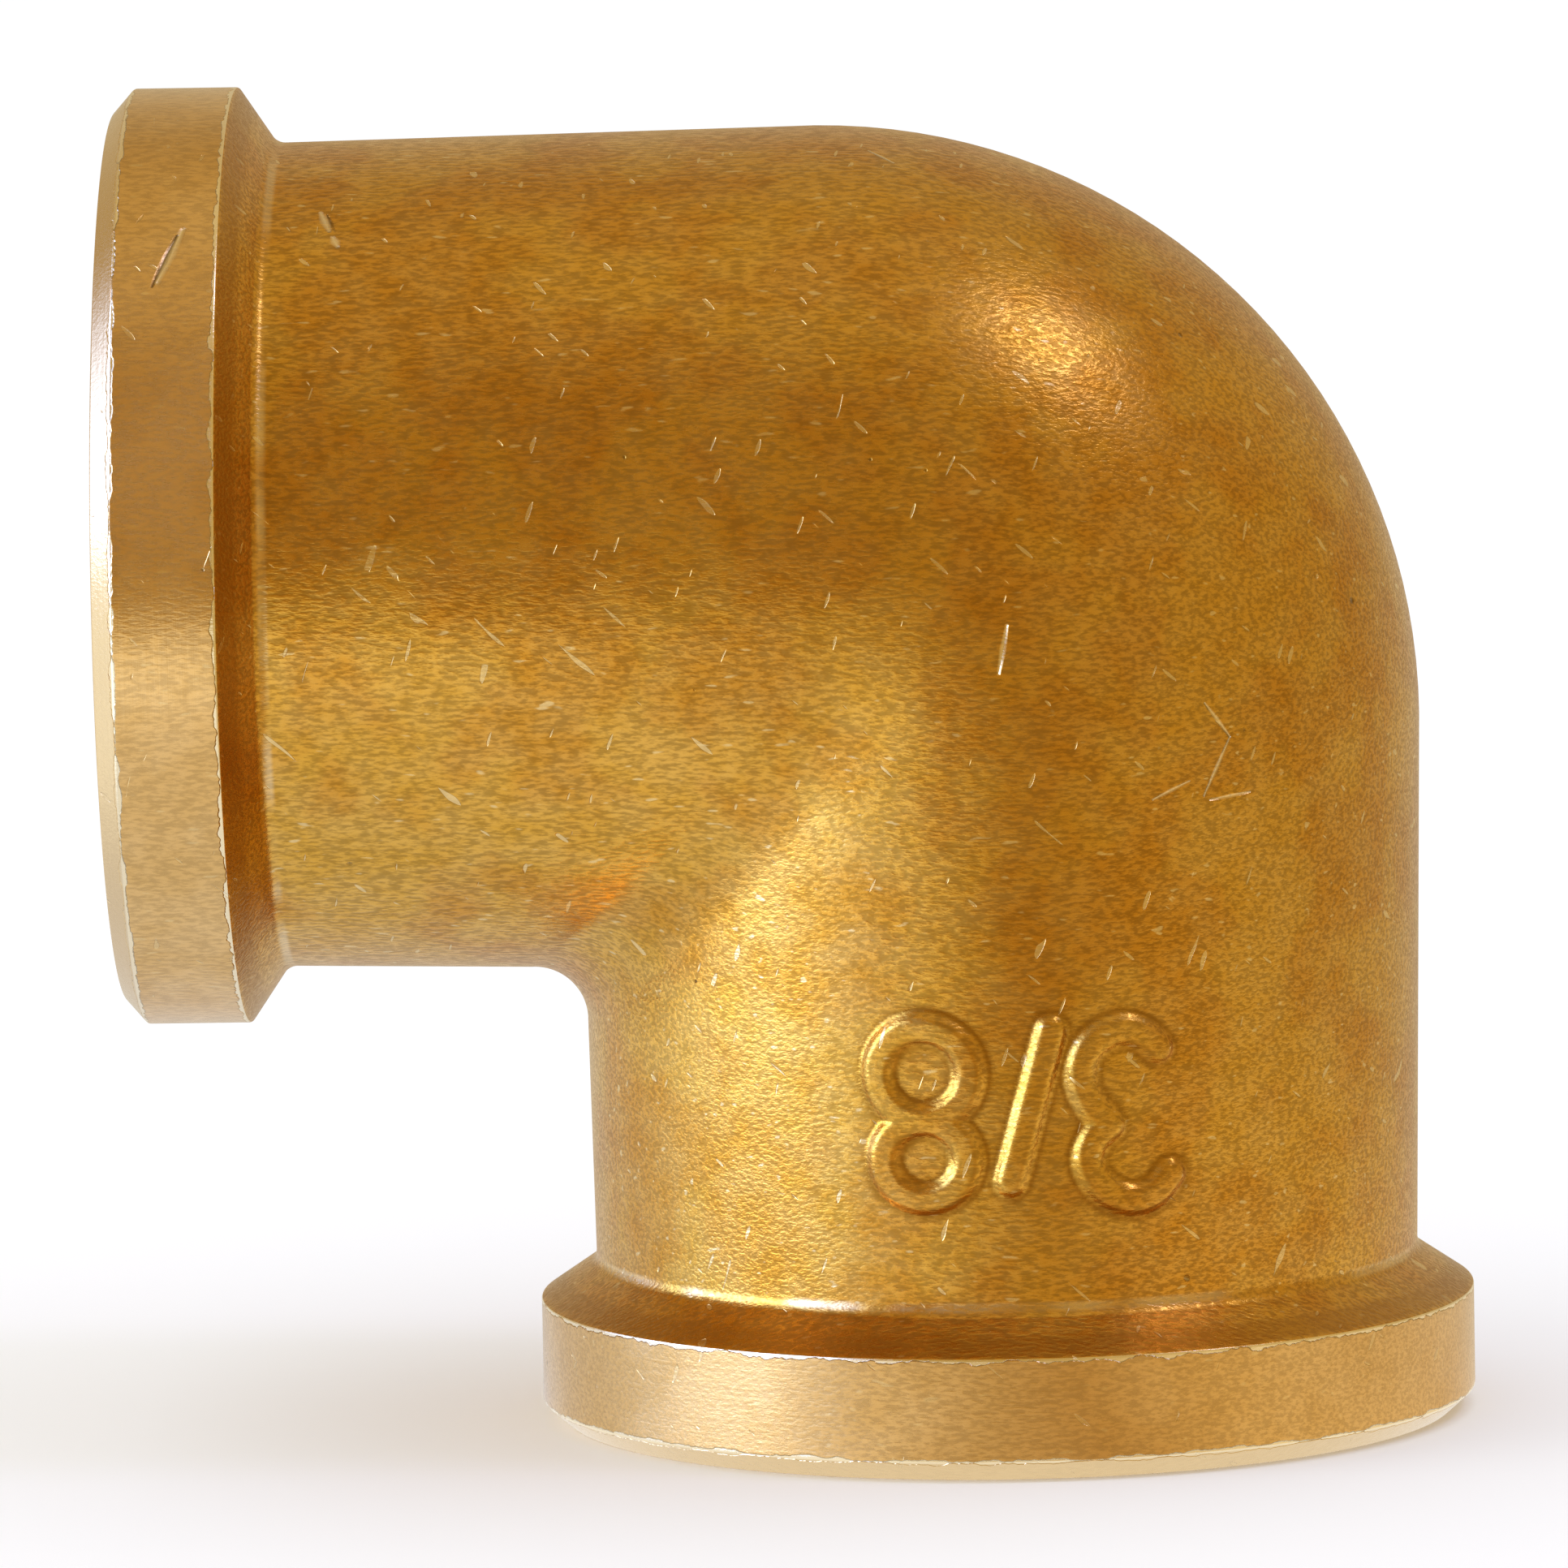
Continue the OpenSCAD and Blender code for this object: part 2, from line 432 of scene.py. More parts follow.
@dataclass(frozen=True)
class Bend:
    """The lower half of the bend with its part of the crotch fillet and of the leg.

    The fillet is the trace of a ball that rolls up the valley between the legs and grows on
    its way, and ends in a rounded tip. No bevel gives that form, so the sheet's points are
    laid on it. Points are in millimetres from the crossing of the port axes.
    """

    sizes: ElbowSizes
    columns: int
    bottom: float
    bend_rows: int = 18
    leg_rows: int = 24
    tip_columns: int = 4

    @property
    def valley_end(self) -> float:
        """Angle at which the valley between the legs runs out, from the corner."""
        sizes = self.sizes
        return math.acos(sizes.bend_radius / (sizes.body_radius + sizes.crotch_runout_radius))

    def ball(self, angle: float) -> tuple[np.ndarray, float, float]:
        """Places the ball that rolls in the valley and traces its fillet.

        Args:
            angle: the ball's angle from the corner, towards +Y.

        Returns:
            The ball's centre, its radius, and the share of the way out to its centre at
            which it touches the legs.
        """
        sizes = self.sizes
        rise = abs(angle) / self.valley_end
        grown = sizes.crotch_runout_radius - sizes.crotch_radius
        radius = sizes.crotch_radius + grown * rise**2
        away = (sizes.body_radius + radius) * math.cos(angle) - sizes.bend_radius
        leg = sizes.body_radius - math.tan(math.radians(sizes.draft)) * away
        reach = leg + radius
        centre = np.array([-math.cos(angle), math.sin(angle), -math.cos(angle)]) * reach
        return centre, radius, leg / reach

    def valley_column(self, angle: float, shares: np.ndarray) -> np.ndarray:
        """Lays one column of the fillet, from the mirror plane to the lower leg.

        Args:
            angle: the column's angle from the corner.
            shares: places along it, from 1 in the mirror plane to 0 on the leg.

        Returns:
            The column's points.
        """
        centre, _, share = self.ball(angle)
        side = centre * np.array([1, share, share]) - centre
        lower = centre * np.array([share, share, 1]) - centre
        cosine = side @ lower / (np.linalg.norm(side) * np.linalg.norm(lower))
        turn = math.acos(float(np.clip(cosine, -1, 1)))
        along = 1 - shares / 2
        weights = np.stack([np.sin((1 - along) * turn), np.sin(along * turn)], axis=1)
        return centre + (weights @ np.stack([side, lower])) / math.sin(turn)

    def bend_column(self, turn: float, shares: np.ndarray) -> np.ndarray:
        """Lays one column round the bend, from the mirror plane to the lower leg.

        Args:
            turn: the column's angle round the lower leg's axis.
            shares: places along it, from 1 in the mirror plane to 0 on the leg.

        Returns:
            The column's points.
        """
        sizes = self.sizes
        out = sizes.body_radius * math.cos(turn) + sizes.bend_radius
        swing = shares * math.pi / 4
        across = -sizes.bend_radius + out * np.cos(swing)
        up = -sizes.bend_radius + out * np.sin(swing)
        return np.stack([across, np.full_like(up, sizes.body_radius * math.sin(turn)), up], axis=1)

    def tip_column(self, side: int, part: float, shares: np.ndarray) -> np.ndarray:
        """Lays one column of the fillet's rounded tip, on the ball's last place.

        Args:
            side: 1 or -1, for the side of the body towards +Y or -Y.
            part: 0 along the fillet's last section, up to 1 along the bend.
            shares: places along it, from 1 in the mirror plane to 0 on the leg.

        Returns:
            The column's points.
        """
        centre, radius, _ = self.ball(side * self.valley_end)
        fillet = self.valley_column(side * self.valley_end, shares) - centre
        bend = self.bend_column(side * (math.pi - self.valley_end), shares) - centre
        mixed = (1 - part) * fillet + part * bend
        return centre + radius * mixed / np.linalg.norm(mixed, axis=1, keepdims=True)

    def column(self, index: int, shares: np.ndarray) -> np.ndarray:
        """Lays one column of the sheet above the plain leg.

        Args:
            index: its number, from 0 at the bend's back to half of all in the corner, and
                negative on the side towards -Y.
            shares: places along it, from 1 in the mirror plane to 0 on the leg.

        Returns:
            The column's points.
        """
        side = 1 if index >= 0 else -1
        count = abs(index)
        tip = math.pi - self.valley_end
        in_bend = round((self.columns / 2 - self.tip_columns) * tip / math.pi)
        in_valley = self.columns // 2 - self.tip_columns - in_bend
        if count <= in_bend:
            return self.bend_column(side * tip * count / in_bend, shares)
        past = count - in_bend
        if past < self.tip_columns:
            return self.tip_column(side, 1 - past / self.tip_columns, shares)
        share = (past - self.tip_columns) / in_valley
        return self.valley_column(side * self.valley_end * (1 - share), shares)

    def leg_column(self, angle: float, top: np.ndarray) -> np.ndarray:
        """Lays one column of the plain leg, below the bend and the fillet.

        Args:
            angle: the column's angle at its lower end.
            top: its upper end.

        Returns:
            The column's points below its upper end.
        """
        shares = np.arange(1, self.leg_rows + 1) / self.leg_rows
        start = math.atan2(top[1], top[0])
        drift = (angle - start + math.pi) % math.tau - math.pi
        turn = start + drift * shares
        up = top[2] + (self.bottom - self.sizes.centre_to_face - top[2]) * shares
        radius = self.sizes.leg_radius_at(up + self.sizes.centre_to_face)
        return np.stack([radius * np.cos(turn), radius * np.sin(turn), up], axis=1)

    def build(self, finishes: Finishes) -> bpy.types.Object:
        """Adds a grid and lays it on the bend, the fillet and the leg.

        Args:
            finishes: the brass finishes.

        Returns:
            The sheet, dressed, open in the mirror plane and at its lower end.
        """
        shares = np.linspace(1, 0, self.bend_rows + 1)
        drawn = []
        for place in range(self.columns + 1):
            index = place if place <= self.columns // 2 else place - self.columns
            upper = self.column(index, shares)
            leg = self.leg_column(math.tau * place / self.columns, upper[-1])
            drawn.append(np.concatenate([upper, leg]))
        points = np.stack(drawn, axis=1)
        points[..., 2] += self.sizes.centre_to_face
        deselect_all()
        bpy.ops.mesh.primitive_grid_add(
            x_subdivisions=self.columns, y_subdivisions=len(points) - 1, size=MM
        )
        sheet = bpy.context.object
        sheet.name = "elbow_shell"
        put(sheet.data, points.reshape(-1, 3))
        dress(sheet, [finishes[Surface.PRESSED]])
        return sheet


@dataclass(frozen=True)
class SizeNumber:
    """The raised size number on the lower leg: plain digits, upside down to the viewer.

    Its strokes are centre lines in millimetres, as the distance round the leg from its front
    and the height above the lower port face.
    """

    half_width: float = 0.47
    edge: float = 0.3
    height: float = 0.19
    # Width of the line of painted shade round the foot of the strokes
    foot_width: float = 0.075
    cuts: int = 4
    eight: tuple[tuple[float, float, float, float], ...] = (
        (-1.66, 9.58, 1.11, 1.09),
        (-1.64, 7.52, 1.01, 0.94),
    )
    slash: tuple[Spot, ...] = ((0.38, 7.0), (1.38, 10.58))
    three_top: tuple[Spot, ...] = (
        (3.99, 10.05), (3.66, 10.34), (3.22, 10.53), (2.76, 10.47), (2.35, 10.2),
        (2.12, 9.77), (2.11, 9.28), (2.34, 8.75), (2.75, 8.26),
    )
    three_bottom: tuple[Spot, ...] = (
        (2.75, 8.26), (2.39, 7.97), (2.22, 7.47), (2.41, 6.96), (2.84, 6.59),
        (3.35, 6.46), (3.85, 6.6), (4.25, 7.02),
    )
    window: tuple[float, float, float, float] = (-3.7, 5.5, 5.1, 11.5)

    @staticmethod
    def line_gap(spots: np.ndarray, line: Sequence[Spot]) -> np.ndarray:
        """Measures how far points are from a line of straight stretches.

        Args:
            spots: points as n x 2.
            line: the line's corners.

        Returns:
            The distances.
        """
        nearest = np.full(len(spots), np.inf)
        for start, end in zip(line[:-1], line[1:]):
            run = np.array(end) - np.array(start)
            share = np.clip((spots - np.array(start)) @ run / (run @ run), 0, 1)
            gap = np.linalg.norm(spots - np.array(start) - share[:, None] * run, axis=1)
            nearest = np.minimum(nearest, gap)
        return nearest

    @staticmethod
    def curve_through(corners: Sequence[Spot], parts: int = 6) -> list[Spot]:
        """Draws a smooth curve through points.

        Args:
            corners: the points to pass through.
            parts: straight stretches between two of them.

        Returns:
            The curve's points.
        """
        ends = np.array([corners[0], *corners, corners[-1]], dtype=float)
        curve: list[Spot] = []
        for index in range(1, len(ends) - 2):
            before, here, there, beyond = ends[index - 1 : index + 3]
            for part in range(parts):
                t = part / parts
                spot = here + 0.5 * (there - before) * t
                spot += 0.5 * (2 * before - 5 * here + 4 * there - beyond) * t**2
                spot += 0.5 * (3 * here - before - 3 * there + beyond) * t**3
                curve.append((float(spot[0]), float(spot[1])))
        return [*curve, corners[-1]]

    def gap(self, round_leg: np.ndarray, up_leg: np.ndarray) -> np.ndarray:
        """Measures how far points of the leg are from the middle of the nearest stroke.

        Args:
            round_leg: distance round the leg from its front.
            up_leg: height above the lower port face.

        Returns:
            The distances in millimetres.
        """
        spots = np.stack([round_leg, up_leg], axis=1)
        lines = (self.slash, self.curve_through(self.three_top), self.curve_through(self.three_bottom))
        gaps = [self.line_gap(spots, line) for line in lines]
        for across, up, wide, high in self.eight:
            size = np.linalg.norm((spots - np.array([across, up])) / np.array([wide, high]), axis=1)
            gaps.append(np.abs(size - 1) * (wide + high) / 2)
        return np.min(gaps, axis=0)

    def inside(self, spots: np.ndarray, sizes: ElbowSizes) -> tuple[np.ndarray, np.ndarray]:
        """Finds the points on the outside of the leg within the number's window.

        Args:
            spots: points in millimetres.
            sizes: the elbow's sizes.

        Returns:
            Which points are inside, and how far each is round the leg.
        """
        low, high, bottom, top = self.window
        radius = np.hypot(spots[:, 0], spots[:, 1])
        round_leg = np.arctan2(spots[:, 0], -spots[:, 1]) * radius
        chosen = np.abs(radius - sizes.leg_radius_at(spots[:, 2])) < 0.03
        chosen &= (round_leg > low) & (round_leg < high)
        chosen &= (spots[:, 2] > bottom) & (spots[:, 2] < top)
        return chosen, round_leg

    def raise_on(self, shell: bpy.types.Object, sizes: ElbowSizes) -> None:
        """Refines the front of the lower leg and raises the number on it.

        Args:
            shell: the closed shell.
            sizes: the elbow's sizes.
        """
        chosen, _ = self.inside(face_centres(shell.data), sizes)
        open_with(shell, "FACE", chosen)
        bpy.ops.mesh.subdivide(number_cuts=self.cuts, smoothness=0)
        close_piece()
        spots = places(shell.data)
        chosen, round_leg = self.inside(spots, sizes)
        gap = self.gap(round_leg[chosen], spots[chosen, 2])
        rise = self.height * smooth((self.half_width - gap) / self.edge)
        raised = sizes.leg_radius_at(spots[chosen, 2]) + rise
        spots[chosen, :2] *= (raised / np.hypot(spots[chosen, 0], spots[chosen, 1]))[:, None]
        put(shell.data, spots)
        # A line of painted shade round the foot of each stroke, kept as a mesh attribute
        foot = np.zeros(len(spots))
        foot[chosen] = np.exp(-(((gap - self.half_width) / self.foot_width) ** 2))
        line = shell.data.attributes.new(FOOT_SHADE_ATTRIBUTE, "FLOAT", "POINT")
        line.data.foreach_set("value", foot)


@dataclass(frozen=True)
class Elbow:
    """The whole elbow, one closed shell of pressed, turned and cut brass."""

    sizes: ElbowSizes
    finishes: Finishes
    number: SizeNumber = field(default_factory=SizeNumber)
    columns: int = 192
    sheet_bottom: float = 9.0

    def half(self) -> bpy.types.Object:
        """Builds the lower half, open in the mirror plane between the legs."""
        bend = Bend(self.sizes, self.columns, self.sheet_bottom).build(self.finishes)
        port = Port(self.sizes, self.columns, self.sheet_bottom).build(self.finishes)
        thread = PipeThread(self.sizes, self.columns).build(self.finishes)
        return join_pieces([bend, *port, thread])

    def build(self) -> bpy.types.Object:
        """Builds the shell from its lower half and a turned copy of it.

        Returns:
            The closed shell at the origin.
        """
        lower = self.half()
        make_active(lower)
        bpy.ops.object.duplicate()
        side = bpy.context.object
        crossing = Matrix.Translation((0, 0, self.sizes.centre_to_face * MM))
        turn = Matrix.Rotation(math.pi, 4, Vector((1, 0, 1)))
        side.data.transform(crossing @ turn @ crossing.inverted())
        shell = join_pieces([lower, side])
        open_with(shell, "VERT")
        bpy.ops.mesh.normals_make_consistent(inside=False)
        close_piece()
        self.number.raise_on(shell, self.sizes)
        make_active(shell)
        bpy.ops.object.shade_smooth_by_angle(angle=math.radians(40))
        return shell


# ---------------------------------------------------------------- materials


class Wiring:
    """Adds nodes to one node tree and wires them up."""

    def __init__(self, tree: bpy.types.NodeTree) -> None:
        """Keeps the tree.

        Args:
            tree: the tree that the nodes go into.
        """
        self.tree = tree

    def node(
        self, kind: str, inputs: dict[str | int, object] | None = None, **settings: object
    ) -> bpy.types.Node:
        """Adds a node.

        Args:
            kind: the node's type name.
            inputs: values or sockets for its inputs, by name or number.
            settings: its own settings.

        Returns:
            The node.
        """
        made = self.tree.nodes.new(kind)
        for key, value in settings.items():
            setattr(made, key, value)
        for key, value in (inputs or {}).items():
            self.feed(made.inputs[key], value)
        return made

    def feed(self, target: Socket, value: object) -> None:
        """Links a socket to an input, or sets the input's value.

        Args:
            target: the input.
            value: a socket, or a constant.
        """
        if isinstance(value, Socket):
            self.tree.links.new(value, target)
        elif isinstance(value, tuple) and target.type == "RGBA" and len(value) == 3:
            target.default_value = (*value, 1.0)
        else:
            target.default_value = value

    def feed_all(self, node: bpy.types.Node, **values: object) -> None:
        """Feeds several inputs of a node, by name."""
        for key, value in values.items():
            self.feed(node.inputs[key], value)

    def group(self, tree: bpy.types.NodeTree, **inputs: object) -> Sockets:
        """Adds a node group, feeds its inputs and gives its outputs."""
        made = self.node("ShaderNodeGroup", node_tree=tree)
        self.feed_all(made, **inputs)
        return made.outputs

    def math(self, operation: str, *values: object, clamp: bool = False) -> Socket:
        """Adds a Math node and gives its result."""
        inputs = dict(enumerate(values))
        return self.node("ShaderNodeMath", inputs, operation=operation, use_clamp=clamp).outputs[0]

    def times(self, first: object, second: object) -> Socket:
        """Multiplies two values."""
        return self.math("MULTIPLY", first, second)

    def gap(self, first: object, second: object) -> Socket:
        """Measures how far apart two values are."""
        return self.math("ABSOLUTE", self.math("SUBTRACT", first, second))

    def vector(self, operation: str, *values: object) -> Socket:
        """Adds a Vector Math node and gives its vector."""
        inputs = dict(enumerate(values))
        return self.node("ShaderNodeVectorMath", inputs, operation=operation).outputs[0]

    def measure(self, operation: str, *values: object) -> Socket:
        """Adds a Vector Math node and gives its number."""
        inputs = dict(enumerate(values))
        return self.node("ShaderNodeVectorMath", inputs, operation=operation).outputs["Value"]

    def scaled(self, vector: Socket, scale: object) -> Socket:
        """Makes a vector longer or shorter."""
        inputs = {0: vector, "Scale": scale}
        return self.node("ShaderNodeVectorMath", inputs, operation="SCALE").outputs[0]

    def split(self, vector: Socket) -> Sockets:
        """Splits a vector into its X, Y and Z."""
        return self.node("ShaderNodeSeparateXYZ", {0: vector}).outputs

    def combine(self, *values: object) -> Socket:
        """Makes a vector of three values."""
        return self.node("ShaderNodeCombineXYZ", dict(enumerate(values))).outputs[0]

    def span(self, value: object, low: float, high: float, start: float = 0.0, end: float = 1.0) -> Socket:
        """Maps a value from one range to another with a soft start and end."""
        inputs = {0: value, 1: low, 2: high, 3: start, 4: end}
        return self.node("ShaderNodeMapRange", inputs, interpolation_type="SMOOTHSTEP").outputs[0]

    def noise(self, place: Socket, scale: float, detail: float = 2.0, roughness: float = 0.5) -> Socket:
        """Adds a noise texture and gives its value."""
        inputs = {"Vector": place, "Scale": scale, "Detail": detail, "Roughness": roughness}
        return self.node("ShaderNodeTexNoise", inputs).outputs["Fac"]

    def mix(self, share: object, first: object, second: object, blend: str = "MIX") -> Socket:
        """Mixes two colours and gives the result."""
        made = self.node("ShaderNodeMix", data_type="RGBA", blend_type=blend)
        self.feed(made.inputs["Factor"], share)
        self.feed(made.inputs[6], first)
        self.feed(made.inputs[7], second)
        return made.outputs[2]


def new_group(
    name: str, inputs: dict[str, str], outputs: Sequence[str]
) -> tuple[Wiring, Sockets, bpy.types.Node]:
    """Starts a shader node group.

    Args:
        name: name of the group.
        inputs: socket type of each input, by name.
        outputs: names of its outputs, which are numbers.

    Returns:
        The group's wiring, what goes into it, and its output node.
    """
    group = bpy.data.node_groups.new(name, "ShaderNodeTree")
    for key, kind in inputs.items():
        group.interface.new_socket(key, in_out="INPUT", socket_type=kind)
    for key in outputs:
        group.interface.new_socket(key, in_out="OUTPUT", socket_type=FLOAT)
    wires = Wiring(group)
    return wires, wires.node("NodeGroupInput").outputs, wires.node("NodeGroupOutput")


@dataclass(frozen=True)
class Grain:
    """One noise in the brass: its form, and the part of its range that shows."""

    name: str
    scale: float
    detail: float
    roughness: float
    shown: Spot
    stretch: Point = (1.0, 1.0, 1.0)
    shift: Point = (0.0, 0.0, 0.0)

    def draw(self, wires: Wiring, place: Socket) -> Socket:
        """Draws the noise and gives it from 0 to 1."""
        moved = wires.vector("ADD", wires.vector("MULTIPLY", place, self.stretch), self.shift)
        return wires.span(wires.noise(moved, self.scale, self.detail, self.roughness), *self.shown)


@dataclass(frozen=True)
class Effects:
    """The node groups that the finishes share. They all work in millimetres."""

    sizes: ElbowSizes
    grains: tuple[Grain, ...] = (
        Grain("Streaks", 12.0, 2.0, 0.6, (0.3, 0.7), (0.28, 0.8, 1.0)),
        Grain("Patches", 0.33, 3.0, 0.55, (0.36, 0.64)),
        Grain("Clouds", 0.9, 4.0, 0.62, (0.32, 0.68), (0.8, 1.0, 1.1)),
        Grain("Flecks", 6.0, 1.0, 0.4, (0.7, 0.78), (0.28, 0.8, 1.0), (7.0, 3.0, 5.0)),
    )
    hair_leans: tuple[float, ...] = (20.0, -48.0)
    hair_size: Point = (0.17, 0.6, 0.9)
    hair_cut: Spot = (0.818, 0.84)
    pit_scale: float = 0.7
    pit_share: float = 0.35
    pit_radius: float = 0.03
    pit_spread: float = 0.05
    # How far the nicks, with their painted glints, reach from the collar's shoulder edge and from its
    # chamfer edge
    nick_and_glint_reaches: Spot = (0.19, 0.12)
    nick_rim: float = 0.03
    nick_scale: float = 14.0
    # Where the painted highlight line at the shoulder's foot lies, and how far it reaches
    foot_rise: float = 0.12
    foot_reach: Spot = (0.16, 0.04)
    # Where the strip of painted shade on the shoulder starts and ends, above the collar's band
    shade_start: Spot = (0.0, 0.1)
    shade_end: Spot = (0.55, 0.35)

    def build(self) -> list[bpy.types.NodeTree]:
        """Builds all the groups."""
        return [self.port_place(), self.skin_grain(), self.collar_edges_and_light(), self.scratch()]

    def port_place(self) -> bpy.types.NodeTree:
        """Finds where a point is from its nearer port.

        Returns:
            A group that takes a place in millimetres and gives the height above that port's
            face, the radius from its axis, and the angle round it.
        """
        wires, enter, leave = new_group("PortPlace", {"Place": VECTOR}, ("Height", "Radius", "Angle"))
        parts = wires.split(enter[0])
        reach = self.sizes.centre_to_face
        up = wires.math("SUBTRACT", parts["Z"], reach)
        lower = wires.math("LESS_THAN", up, parts["X"])
        side = wires.math("SUBTRACT", 1.0, lower)
        side_height = wires.times(side, wires.math("ADD", parts["X"], reach))
        height = wires.math("ADD", wires.times(lower, parts["Z"]), side_height)
        across = wires.math("ADD", wires.times(lower, parts["X"]), wires.times(side, up))
        square = wires.math("ADD", wires.math("POWER", across, 2.0), wires.math("POWER", parts["Y"], 2.0))
        angle = wires.math("ARCTAN2", parts["Y"], across)
        wires.feed_all(leave, Height=height, Radius=wires.math("SQRT", square), Angle=angle)
        return wires.tree

    def skin_grain(self) -> bpy.types.NodeTree:
        """Draws the uneven skin that pressing and blasting leave on brass.

        Returns:
            A group that takes a place in millimetres and gives fine level streaks, soft
            patches, small clouds, bright flecks, hair scratches and sparse dark pits, each
            from 0 to 1.
        """
        names = (*(grain.name for grain in self.grains), "Hairs", "Pits")
        wires, enter, leave = new_group("SkinGrain", {"Place": VECTOR}, names)
        place = enter[0]
        for grain in self.grains:
            wires.feed(leave.inputs[grain.name], grain.draw(wires, place))
        hairs = []
        for lean in self.hair_leans:
            inputs = {"Vector": place, "Rotation": (0.0, math.radians(lean), 0.0), "Scale": self.hair_size}
            turned = wires.node("ShaderNodeMapping", inputs, vector_type="TEXTURE").outputs[0]
            hairs.append(wires.span(wires.noise(turned, 1.0, 0.0), *self.hair_cut))
        inputs = {"Vector": place, "Scale": self.pit_scale, "Randomness": 1.0}
        speck = wires.node("ShaderNodeTexVoronoi", inputs).outputs
        chance = wires.split(speck["Color"])
        chosen = wires.math("LESS_THAN", chance["X"], self.pit_share)
        size = wires.math("MULTIPLY_ADD", chance["Y"], self.pit_spread, self.pit_radius)
        pit = wires.math("SUBTRACT", 1.0, wires.math("DIVIDE", speck["Distance"], size), clamp=True)
        pits = wires.times(wires.math("POWER", pit, 0.5), chosen)
        wires.feed_all(leave, Hairs=wires.math("MAXIMUM", *hairs), Pits=pits)
        return wires.tree

    def collar_edges_and_light(self) -> bpy.types.NodeTree:
        """Draws the nicked edges of the turned collars, with painted glints and painted shade.

        Returns:
            A group that takes the height above a port face, the radius and the angle round
            it, in millimetres and radians, and gives the painted highlight line at the shoulder's
            foot, the nicks with their painted glints along the collar's two edges, the strip of
            painted shade on the shoulder and the chamfer at the face, each from 0 to 1.
        """
        places = {"Height": FLOAT, "Radius": FLOAT, "Angle": FLOAT}
        wires, enter, leave = new_group("CollarEdgesAndLight", places, ("Foot", "Nicks", "Shade", "Chamfer"))
        height, radius, angle = (enter[index] for index in range(3))
        sizes = self.sizes
        round_edge = wires.combine(wires.times(angle, self.nick_scale), height, 0.0)
        uneven = wires.span(wires.noise(round_edge, 1.0, 3.0, 0.6), 0.25, 0.75)
        outer = wires.span(radius, sizes.collar_radius - 0.3, sizes.collar_radius - 0.15)
        # Nicks along the collar's two edges: worn metal, with painted glints
        worn = []
        for level, reach in zip((sizes.collar_length, sizes.face_chamfer_length), self.nick_and_glint_reaches):
            left = wires.math("SUBTRACT", wires.times(uneven, reach), wires.gap(height, level))
            worn.append(wires.times(wires.span(left, 0.0, self.nick_rim), outer))
        # The painted highlight line at the shoulder's foot, broken along its way
        along = wires.span(wires.noise(round_edge, 0.22, 2.0, 0.5), 0.42, 0.62)
        foot_gap = wires.gap(height, sizes.foot + self.foot_rise)
        chamfer_start = sizes.collar_radius - sizes.face_chamfer_depth - 0.1
        chamfer = wires.times(
            wires.span(height, sizes.face_chamfer_length, sizes.face_chamfer_length - 0.04),
            wires.span(radius, chamfer_start, sizes.collar_radius - 0.5),
        )
        # The strip of painted shade on the shoulder, above the collar's band
        strip = [
            wires.span(height, *(sizes.collar_length + rise for rise in rises))
            for rises in (self.shade_start, self.shade_end)
        ]
        wires.feed_all(
            leave,
            Foot=wires.times(wires.span(foot_gap, *self.foot_reach), along),
            Nicks=wires.math("MAXIMUM", *worn),
            Shade=wires.times(*strip),
            Chamfer=chamfer,
        )
        return wires.tree

    def scratch(self) -> bpy.types.NodeTree:
        """Draws one straight line: a scratch, or the painted shadow beside one.

        Returns:
            A group that takes a place, the line's two ends and its width, all in
            millimetres, and gives 1 along the line and 0 away from it.
        """
        ends = {"Place": VECTOR, "Start": VECTOR, "End": VECTOR, "Width": FLOAT}
        wires, enter, leave = new_group("ScratchOrShadowLine", ends, ("Mask",))
        place, start, end, width = (enter[index] for index in range(4))
        away = wires.vector("SUBTRACT", place, start)
        run = wires.vector("SUBTRACT", end, start)
        dots = [wires.measure("DOT_PRODUCT", first, run) for first in (away, run)]
        share = wires.math("DIVIDE", *dots, clamp=True)
        gap = wires.measure("LENGTH", wires.vector("SUBTRACT", away, wires.scaled(run, share)))
        limit = wires.times(width, wires.math("SUBTRACT", 1.0, wires.gap(share, 0.5)))
        mask = wires.math("SUBTRACT", 1.0, wires.math("DIVIDE", gap, limit), clamp=True)
        wires.feed_all(leave, Mask=mask)
        return wires.tree


BRIGHT_BRASS: Colour = (0.88, 0.68, 0.34)
# Bright worn metal, and painted glints and highlights
CREAM_WEAR_AND_GLINT: Colour = (0.97, 0.84, 0.58)
# Dark pits, and the painted shadow beside some scratches
DARK_PIT_AND_SHADOW: Colour = (0.06, 0.035, 0.01)
# Painted shade round the foot of the size number
PAINTED_FOOT_SHADE_COLOUR: Colour = (0.3, 0.13, 0.012)
# Painted shade on the strip of the shoulder behind each collar
SHOULDER_PAINTED_SHADE: Colour = (0.42, 0.2, 0.03)
CUT_CHAMFER: Colour = (0.76, 0.56, 0.3)


@dataclass(frozen=True)
class Mark:
    """One scratch on the skin, or the line of painted shadow beside one, by its two ends in millimetres.
    """

    start: Point
    end: Point
    width: float = 0.09
    colour: Colour = CREAM_WEAR_AND_GLINT


